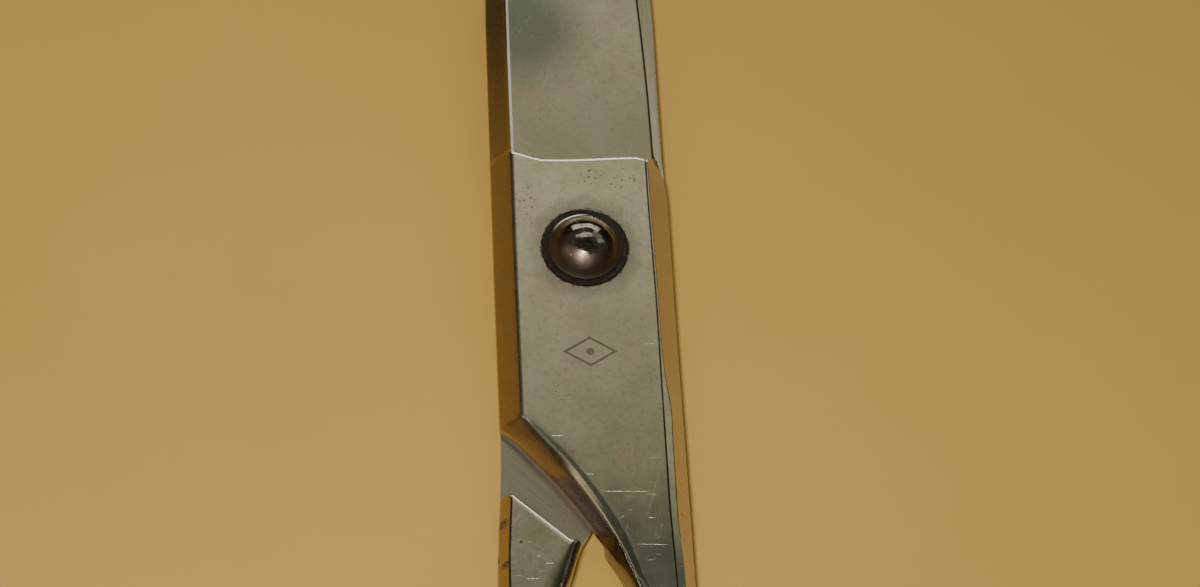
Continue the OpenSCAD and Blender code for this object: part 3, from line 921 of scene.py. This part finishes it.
class HalfPaint(Paint):
    """Paint of one half, with the masks that its layers share. The outer_ values are measured as if the
    half's outer face were up."""

    def __init__(self, name, upper):
        super().__init__(name)
        self.upper, self.side = upper, 1.0 if upper else -1.0
        self.up = self.facing[2]
        self.outer_up, self.outer_x = self.both(self.up, self.side), self.both(self.x, self.side)
        self.outer_z = self.z if upper else self.sub(FULL, self.z)
        self.over_inner = self.abs(self.sub(self.outer_z, INNER))
        self.level = self.step(self.abs(self.up), 0.965, 0.985)
        self.inner = self.both((self.over_inner, 0.3, 0.06), self.level, (self.y, -58.0, -54.0))
        self.outer = self.both(self.level, self.sub(1.0, self.inner))
        self.blade = self.step(self.y, SHOULDER_Y + 0.2, SHOULDER_Y + 1.2)


def plate(p):
    """Clouds of tarnish; painted reflections on the sides and painted shade in the throat and on the upper
    shank.
    """
    olive, pink = p.noise(11.0, 3.0, 0.55), p.noise(7.0, 4.0, 0.6, shift=37.0)
    p.color = p.mixed(NICKEL, OLIVE_NICKEL, p.step(olive, 0.42, 0.68))
    p.tint(PINK_NICKEL, (pink, 0.48, 0.7), 0.8)
    p.tint(DULL_NICKEL, (p.streaks(16.0, 5.0, 80.0, 3.0, 0.6), 0.5, 0.74), 0.6)
    p.tint(SPECKLE, (p.noise(0.9, 4.0, 0.75, shift=61.0), 0.45, 0.75), 0.6)
    if p.upper:
        p.tint(SMOKED, p.spot(-9.0, 41.0, 15.0), 0.85)
        # painted shade: the upper shank darker from y -36 to y -52
        p.tint(SHADED_SHANK, (p.y, -36.0, -52.0), 0.85)
        # the blade painted darker near its shoulder, fading out by y 44
        p.tint(DARKER_BLADE, (p.y, 44.0, 20.0), p.blade, 0.42)
    # painted reflection: sides facing left are painted brown, as if mirroring the floor; the others are lilac
    sides = p.mixed((0.54, 0.50, 0.57), (0.44, 0.345, 0.27), p.step(p.facing[0], -0.2, -0.6))
    # painted shade: the sides in the throat between the shanks are painted nearly black
    throat_shade = p.both((p.abs(p.x), 9.2, 8.4), (p.y, -46.0, -48.5), (p.y, -72.0, -60.0), 0.8 if p.upper else 0.4)
    sides = p.mixed(sides, (0.17, 0.16, 0.11), throat_shade)
    p.color = p.mixed(sides, p.color, p.step(p.abs(p.up), 0.62, 0.9))
    p.rough = p.line(p.level, 0.035, p.line(p.noise(4.0, 5.0, 0.65, shift=11.0), 0.16, 0.19))


def grinding(p):
    """Polishing lines along the plate, grinding lines across the inner face."""
    polish = p.add(p.streaks(9.0, 0.11, 86.0, 5.0, 0.7), p.streaks(4.0, 0.05, 94.0, 2.0, 0.5))
    across, along = p.streaks(14.0, 0.16, 43.0 * p.side, 6.0, 0.75), p.streaks(14.0, 0.16, 88.0, 5.0, 0.7)
    ground = p.blend(across, along, p.step(p.y, 4.0, 12.0))
    rows = p.add(ground, p.streaks(8.0, 0.07, 38.0 * p.side, 3.0, 0.6))
    p.height = p.blend(p.both(polish, 0.0016), p.both(rows, 0.0075), p.inner)
    p.tint(p.mixed(GROUND_LOW, GROUND_HIGH, p.step(ground, 0.3, 0.7)), p.inner)
    # the ground face painted paler from y 46 down towards the shoulder
    p.tint(GROUND_PALE, p.inner, (p.y, 46.0, 18.0), (p.y, 10.0, 14.0), 0.5)
    p.roughen(0.34, p.inner)


def scratches(p):
    shank = p.step(p.y, -20.0, -42.0)
    across = p.most(p.both(p.dashes(3.4, 0.5, 2.0, 0.12, 0.16), p.line(shank, 0.6, 0.2)),
                    p.both(p.dashes(7.0, 0.9, -3.0, 0.12, 0.13), p.line(shank, 0.5, 0.1)))
    strokes = p.most(*[p.stroke(*place) for place in (UPPER_MARKS if p.upper else LOWER_MARKS)])
    broken = p.step(p.noise(0.45, 3.0, 0.7, shift=83.0), 0.32, 0.55)
    stray = p.most(p.both(p.dashes(4.0, 0.8, 63.0, 0.10, 0.2), (p.noise(9.0, 1.0, shift=5.0), 0.5, 0.65)),
                   p.both(p.dashes(3.0, 0.6, 118.0, 0.07, 0.2), (p.noise(12.0, 1.0, shift=25.0), 0.5, 0.65)))
    hair = p.step(p.abs(p.sub(p.streaks(22.0, 0.9, 72.0, 1.0, 0.5), 0.5)), 0.006, 0.001)
    scratch = p.most(p.both(across, 0.5), p.both(strokes, broken), p.both(stray, 0.5), p.both(hair, 0.35))
    scratch = p.both(scratch, p.outer)
    p.raise_by(-0.012, scratch)
    p.tint(BARE_STEEL, scratch, 0.7)
    p.roughen(0.42, scratch)


def pits(p):
    patches = p.both((p.noise(6.0, 2.0, shift=50.0), 0.56, 0.68), 0.35)
    if p.upper:
        patches = p.most(patches, *[p.spot(*place) for place in PITTED])
    distance, chance = p.cells(p.place, 1.7)
    size = p.both(0.4, (chance[1], 0.1, 1.0), (p.add(chance[0], patches), 0.92, 1.5))
    ragged = p.add(distance, p.line(p.noise(0.25, 2.0), 0.35, -0.17))
    pit = p.both((ragged, size, p.both(size, 0.3)), (size, 0.02, 0.1), p.level)
    p.raise_by(-0.035, pit)
    p.tint(PIT, pit, 0.8)
    p.roughen(0.6, pit)


def rusted(p):
    """Rust on the shanks and the bows."""
    grain = p.noise(0.5, 4.0, 0.7)
    spots = p.step(p.line(grain, 0.35, p.noise(3.4, 2.0, 0.5, shift=71.0)), 0.86, 0.93)
    if not p.upper:
        spots = p.most(spots, p.both(p.most(*[p.spot(*place) for place in RUSTED]), (grain, 0.3, 0.55)))
    rust = p.both(spots, (p.y, -34.0, -48.0))
    p.tint(RUST, rust, 0.95)
    p.roughen(0.6, rust)
    p.raise_by(0.005, rust)
    p.metallic = p.line(rust, -0.4, 1.0)


def worn_edges_and_highlights(p):
    """Bare metal on edges, and painted highlights on the crest, the shoulder's rim and the step's rim."""
    p.tint(BARE_STEEL, p.worn_edge(0.3), (p.noise(1.6, 3.0, shift=91.0), 0.4, 0.6), 0.4)
    # painted highlight on the blade's crest, where its face starts to tilt
    crest = p.both((p.outer_up, 0.985, 0.994), p.blade)
    ahead = p.step(p.facing[1], 0.1, 0.2)
    # painted highlight on the shoulder's rim, which faces the tips
    rim = p.both(ahead, (p.outer_up, 0.6, 0.8), (p.y, SHOULDER_Y - 2, SHOULDER_Y - 1),
                 (p.y, SHOULDER_Y + 5, SHOULDER_Y + 4))
    if not p.upper:
        # painted highlight on the lower half's step rim as well
        rim = p.most(rim, p.both(ahead, (p.up, 0.6, 0.8), (p.y, -38.0, -39.0), (p.y, -52.0, -50.0),
                                 (p.z, INNER + 3.0, INNER + 4.0)))
    p.tint(PAINTED_HIGHLIGHT, p.most(crest, rim), 0.9)
    p.roughen(0.2, rim)


def crossing_edge_reflections(p):
    """Painted dark reflection on the rounding of the upper half's crossing edge, and a painted tan reflection
    on the strip under it.
    """
    left = p.both((p.facing[0], -0.04, -0.12), (p.y, -66.0, -60.0), (p.z, INNER + 3.5, INNER + 4.5))
    # painted dark reflection on the rounding just off the flat
    p.tint(PAINTED_DARK_REFLECTION, left, (p.up, 0.995, 0.96), (p.up, 0.84, 0.88), (p.y, -28.0, -29.5), 0.85)
    # painted tan reflection on the steeper strip below it
    p.tint(PAINTED_TAN_REFLECTION, left, (p.up, 0.885, 0.845), (p.up, 0.6, 0.68), (p.y, -34.0, -37.5), (p.y, -49.0, -46.0),
           0.75)


def chamfer_seam(p):
    """Dirt along the chamfer of the lower shank."""
    start, end, from_x, to_x = FINGER_SIDE
    edge = p.line(p.step(p.y, start, end), to_x - from_x, from_x - CHAMFER)
    p.tint(GRIME_AND_SHADE, (p.abs(p.sub(p.outer_x, edge)), 0.22, 0.1), (p.y, -40.0, -41.5), (p.y, -66.0, -62.0),
           (p.z, FULL - 0.8, FULL - 0.5), 0.8)


def dark_lines(p):
    """A dark line beside the flat's edge on the thumb side, and a dark band along the cutting edge."""
    edge = p.line(p.step(p.y, -40.0, -56.0), 0.45, p.line(p.step(p.y, 12.0, -12.0), 0.3, FLAT_SIDE))
    beside = p.abs(p.sub(p.sub(p.outer_x, edge), 0.02))
    p.tint(GRIME_AND_SHADE, (beside, 0.17, 0.08), (p.y, SHOULDER_Y + 1, SHOULDER_Y), (p.y, -64.0, -60.0),
           (p.noise(2.5, 3.0, 0.6, shift=33.0), 0.3, 0.45), (p.outer_z, 7.0, 8.0), 0.7)
    along = p.both(p.most(p.sub(p.y, SHOULDER_Y), 0.0), 1 / (REACH - SHOULDER_Y))
    gap = p.sub(p.line(p.both(along, along), TIP_EDGE - HEEL, HEEL), p.outer_x)
    # a dark band along the cutting edge, above the inner face
    p.tint(GRIME_AND_SHADE, (gap, 0.5, 0.3), (p.over_inner, 0.02, 0.1), p.blade, 0.85)


def caked_oil(p):
    """Caked oil round the pivot and in the mark."""
    caked = (p.line(p.noise(0.7, 4.0, 0.65, shift=13.0), -1.5, p.reach), 6.45, 5.75)
    halo = p.both((p.line(p.noise(2.0, 3.0, 0.6), -3.0, p.reach), 8.2, 5.4), 0.35)
    dirt = p.both(p.most(caked, halo), p.outer if p.upper else p.inner)
    if p.upper:
        near_mark = p.both((p.y, -13.0, -14.0), (p.y, -22.0, -21.0))
        dirt = p.most(dirt, p.both((p.z, FULL - 0.02, FULL - 0.07), near_mark, p.level, 0.75))
    p.tint(GRIME_AND_SHADE, dirt)
    p.roughen(0.62, dirt)
    p.metallic = p.both(p.metallic, p.line(dirt, -0.75, 1.0))


def half_steel(name, upper):
    """Old nickel plate: cloudy, finely scratched and pitted, with rust on the shank and a ground inner
    face."""
    p = HalfPaint(name, upper)
    own = crossing_edge_reflections if upper else chamfer_seam
    for layer in (plate, grinding, scratches, pits, rusted, worn_edges_and_highlights, own, dark_lines, caked_oil):
        layer(p)
    return p.finish()


def bolt_steel():
    """Dented steel dome with dirt and painted shade in its lower part and on the left, grime and painted
    shade at its foot, and a painted highlight in an arc at the far edge."""
    p = Paint("bolt steel")
    p.color = p.mixed((0.33, 0.30, 0.27), (0.17, 0.14, 0.11), p.step(p.noise(1.1, 5.0, 0.65), 0.38, 0.62))
    p.rough = p.line(p.noise(1.2, 4.0, 0.6, shift=3.0), 0.10, 0.04)
    dents = p.node("TexVoronoi", {"Vector": p.place, "Scale": 0.55}, feature="SMOOTH_F1")
    p.height = p.both(dents.outputs["Distance"], 0.045)
    p.raise_by(0.008, p.noise(0.6, 3.0, 0.5))
    marks = p.most(p.dashes(1.6, 0.3, 25.0, 0.3, 0.2), p.dashes(1.8, 0.35, 100.0, 0.25, 0.2))
    p.raise_by(-0.008, marks)
    p.tint(BARE_STEEL, marks, 0.5)
    # painted highlight: a pale arc on the far edge of the head
    arc = p.both((p.reach, 5.15, 5.3), p.spot(-2.4, 4.9, 3.6))
    clear = p.sub(1.0, arc)
    # dirt and painted shade on the dome's lower part and its left side
    dirt = p.both((p.line(p.noise(0.8, 4.0, 0.6), 1.6, p.away_from(0.7, 1.3)), 4.1, 5.2), clear)
    # grime and painted shade on the head's foot, where it sits on the washer
    foot = p.both((p.reach, 5.1, 5.25), clear)
    p.tint((0.21, 0.15, 0.11), dirt)
    p.tint(GRIME_AND_SHADE, foot)
    p.tint((0.85, 0.80, 0.68), arc, 0.95)
    p.roughen(0.36, dirt)
    p.roughen(0.6, foot)
    p.metallic = p.line(foot, -0.7, 1.0)
    return p.finish()


def blackened():
    p = Paint("blackened washer")
    p.color = p.mixed((0.018, 0.012, 0.007), (0.06, 0.034, 0.016), p.step(p.noise(0.9, 5.0, 0.65), 0.45, 0.7))
    p.tint((0.25, 0.21, 0.16), (p.noise(0.35, 3.0, 0.6, shift=8.0), 0.68, 0.76))
    p.rough = p.line(p.noise(0.6, 4.0, 0.6), 0.35, 0.4)
    p.height = p.both(p.noise(0.45, 5.0, 0.65), 0.05)
    p.metallic = 0.45
    return p.finish()


def dull_steel(name, color):
    """Turned steel with concentric lines, worn bright at its edges and spotted with rust."""
    p = Paint(name)
    dark = tuple(0.55 * c for c in color)
    p.color = p.mixed(color, dark, p.step(p.noise(1.5, 5.0, 0.65), 0.4, 0.72))
    p.tint(BARE_STEEL, p.worn_edge(0.15), 0.7)
    p.tint(RUST, (p.noise(0.9, 4.0, 0.7, shift=19.0), 0.66, 0.75))
    p.rough = p.line(p.noise(0.8, 4.0, 0.6, shift=3.0), 0.22, 0.24)
    turned = p.node("CombineXYZ", {0: p.both(p.reach, 9.0)}).outputs[0]
    p.height = p.both(p.noise(1.0, 2.0, 0.6, vector=turned), 0.012)
    p.raise_by(-0.01, p.dashes(1.5, 0.3, 40.0, 0.3))
    return p.finish()


def pale_floor():
    p = Paint("pale floor")
    p.color = p.mixed((0.645, 0.405, 0.084), (0.66, 0.42, 0.092), p.step(p.noise(60.0, 3.0, 0.5), 0.35, 0.65))
    p.rough = p.line(p.noise(20.0, 3.0), 0.1, 0.45)
    p.height = p.both(p.noise(1.0, 4.0, 0.6), 0.01)
    p.metallic = 0.0
    return p.finish()


# ---- camera, light and floor ---------------------------------------------------------------------

CAMERA_DISTANCE = 0.3965
LENS, SENSOR = 79.4, 36.0
LIGHT_DISTANCE = 0.8
# Azimuth and elevation, width and height, radiance and colour of the soft lights.
LIGHTS = {"high window": ((94, 58), (0.6, 0.16), 0.95, (1.0, 0.97, 0.82)),
          "low window": ((85, 24), (0.84, 0.27), 1.6, (1.0, 0.97, 0.86)),
          "pale wall": ((38, 44), (0.44, 0.26), 0.42, (1.0, 0.97, 0.84)),
          "side": ((187, 34), (0.25, 0.25), 0.95, (1.0, 0.93, 0.76))}


def camera_axes():
    """Right, up and back of the camera: 28 degrees from straight down, turned a little to the side."""
    tilt, side, roll = math.radians(28.0), math.radians(-5.5), math.radians(-3.1)
    back = Vector((math.sin(side), -math.cos(side) * math.sin(tilt), math.cos(side) * math.cos(tilt)))
    right = Vector((0, 1, 0)).cross(back).normalized()
    up = back.cross(right)
    return (math.cos(roll) * right + math.sin(roll) * up, math.cos(roll) * up - math.sin(roll) * right, back)


AIM = Vector((1.9, -7.9, 10.0)) * MM


def make_camera():
    data = bpy.data.cameras.new("camera")
    data.lens, data.sensor_width = LENS, SENSOR
    data.clip_start = 0.01
    camera = bpy.data.objects.new("camera", data)
    bpy.context.scene.collection.objects.link(camera)
    right, up, back = camera_axes()
    turn = Matrix((right, up, back)).transposed().to_4x4()
    camera.matrix_world = Matrix.Translation(AIM + back * CAMERA_DISTANCE) @ turn
    bpy.context.scene.camera = camera


def area_light(name, place, size, radiance, color):
    """Soft rectangle that faces the pivot. Its radiance is what a mirror would show."""
    data = bpy.data.lights.new(name, "AREA")
    data.shape = "RECTANGLE"
    data.size, data.size_y = size
    data.energy = radiance * math.pi * size[0] * size[1]
    data.color = color
    lamp = bpy.data.objects.new(name, data)
    lamp.location = place
    lamp.rotation_mode = "QUATERNION"
    lamp.rotation_quaternion = Vector(place).to_track_quat("Z", "Y")
    bpy.context.scene.collection.objects.link(lamp)


def polar(distance, azimuth, elevation):
    a, e = math.radians(azimuth), math.radians(elevation)
    return Vector((math.cos(e) * math.cos(a), math.cos(e) * math.sin(a), math.sin(e))) * distance


def make_lights():
    """Windows behind the tips, a pale wall and a window at the sides, and a small lamp by the camera."""
    for name, (angles, size, radiance, color) in LIGHTS.items():
        area_light(name, polar(LIGHT_DISTANCE, *angles), size, radiance, color)
    right, up, back = camera_axes()
    beside = AIM + back * CAMERA_DISTANCE * 1.02 - right * 0.027 + up * 0.01
    area_light("lamp beside the camera", beside, (0.04, 0.04), 235.0, (1.0, 0.97, 0.95))


def make_world():
    """A dim room: dark walls and a faint ceiling."""
    world = bpy.data.worlds.new("room")
    world.use_nodes = True
    tree = world.node_tree
    coords = tree.nodes.new("ShaderNodeTexCoord")
    split = tree.nodes.new("ShaderNodeSeparateXYZ")
    ramp = tree.nodes.new("ShaderNodeValToRGB")
    tree.links.new(coords.outputs["Generated"], split.inputs[0])
    tree.links.new(split.outputs[2], ramp.inputs[0])
    tree.links.new(ramp.outputs[0], tree.nodes["Background"].inputs["Color"])
    stops = ramp.color_ramp.elements
    stops[0].position, stops[0].color = 0.35, (0.035, 0.034, 0.024, 1)
    stops[1].position, stops[1].color = 0.78, (0.16, 0.15, 0.12, 1)
    stops.new(0.96).color = (0.06, 0.055, 0.045, 1)
    bpy.context.scene.world = world


def make_floor():
    half = 3.0
    corners = [(-half, -half, 0), (half, -half, 0), (half, half, 0), (-half, half, 0)]
    obj = new_object("floor", corners, [(0, 1, 2, 3)])
    obj.data.materials.append(pale_floor())


make_camera()
make_world()
make_lights()
make_floor()
make_upper(half_steel("upper nickel", True))
make_lower(half_steel("lower nickel", False))
make_bolt(bolt_steel())
make_head_washer(blackened())
make_nut_washer(dull_steel("nut washer steel", (0.35, 0.32, 0.28)))
make_nut(dull_steel("nut steel", (0.47, 0.44, 0.39)))
